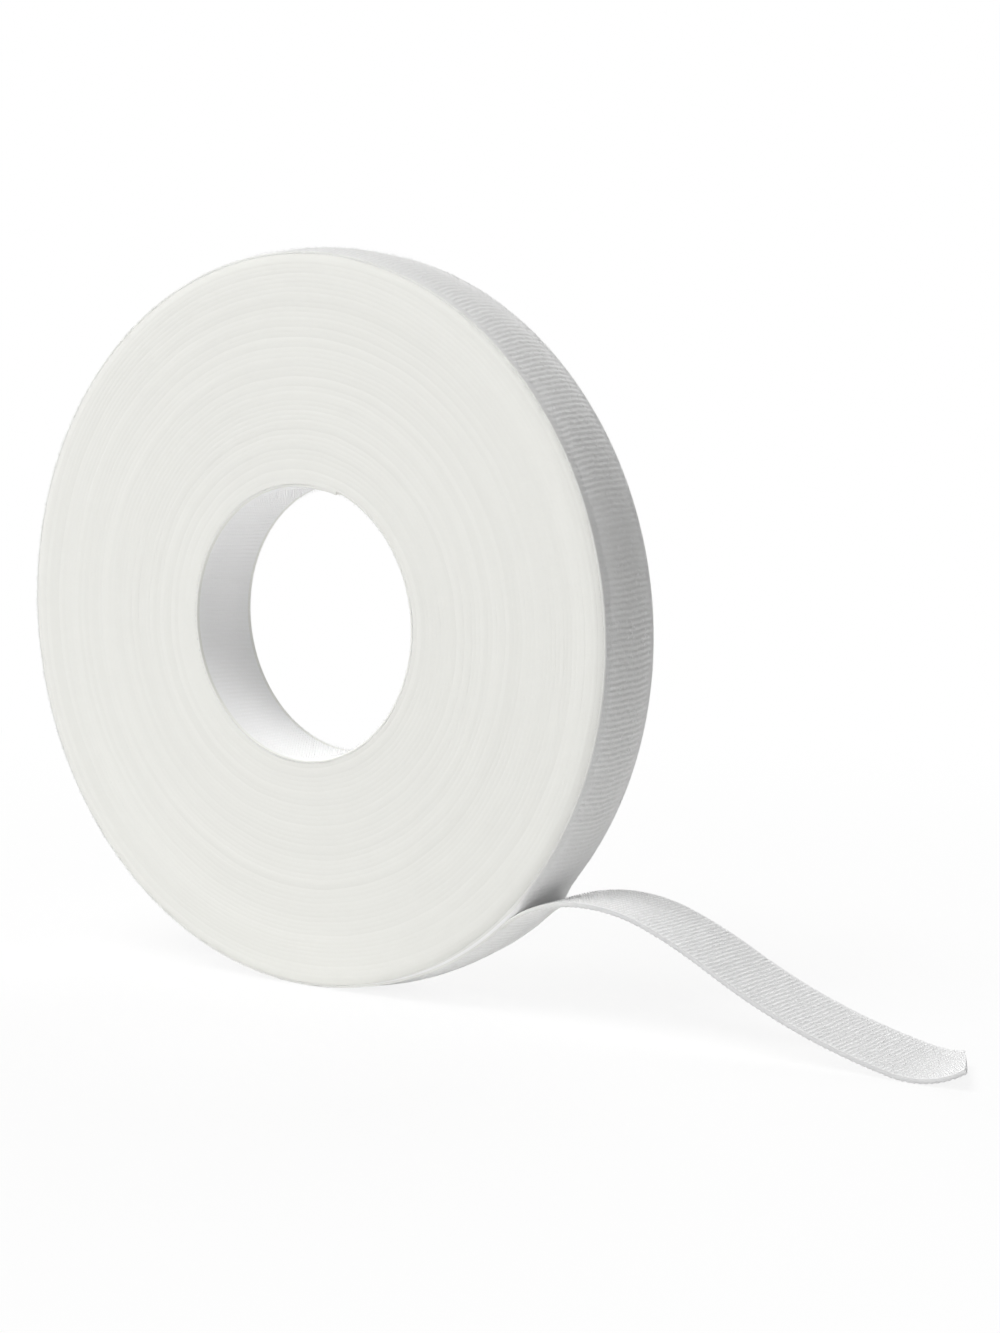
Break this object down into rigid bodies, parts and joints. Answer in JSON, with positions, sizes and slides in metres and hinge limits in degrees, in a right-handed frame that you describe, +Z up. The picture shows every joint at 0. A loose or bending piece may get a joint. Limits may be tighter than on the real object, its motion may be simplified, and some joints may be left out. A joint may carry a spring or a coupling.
{
  "type": "hook and loop tape roll",
  "caption": "Coreless roll of white back-to-back hook and loop tape that stands on its rim, with a wide open bore and a springy free end that peels off low down and lies forward.",
  "frame": {"origin": "middle of the flat under the roll, on the surface that it stands on", "axes": "+Y along the roll's axis, away from the viewer; +X the way the free end runs; +Z up"},
  "size_m": [0.336, 0.025, 0.2212],
  "materials": {
    "wound_edge": "matt off-white woven tape edges, tightly wound",
    "hook_web": "off-white woven web with rows of fine hooks and plain selvedges",
    "loop_web": "off-white ribbed web with brushed loop pile"
  },
  "bodies": {
    "roll": {"inner_turns": "wound_edge", "wound_turns": "wound_edge"},
    "outer_turn": {"outer_turn_hook_web": "hook_web", "outer_turn_loop_web": "loop_web"},
    "tail": {"tail_hook_web": "hook_web", "tail_loop_web": "loop_web"},
    "tail_tip": {"tip_hook_web": "hook_web", "tip_loop_web": "loop_web"}
  },
  "joints": [
    {"name": "unwind", "type": "hinge", "parent": "roll", "child": "outer_turn", "pos_m": [0, 0, 0.1105], "axis": [0, -1, 0], "continuous": true},
    {"name": "tail_lift", "type": "hinge", "parent": "outer_turn", "child": "tail", "pos_m": [0.08281, 0, 0.03179], "axis": [0, -1, 0], "range_deg": [0, 40], "stiffness_Nm_per_rad": 0.002},
    {"name": "tip_flex", "type": "hinge", "parent": "tail", "child": "tail_tip", "pos_m": [0.16104, 0, 0.01533], "axis": [0, -0.9976, -0.0699], "range_deg": [0, 50], "stiffness_Nm_per_rad": 0.002}
  ]
}
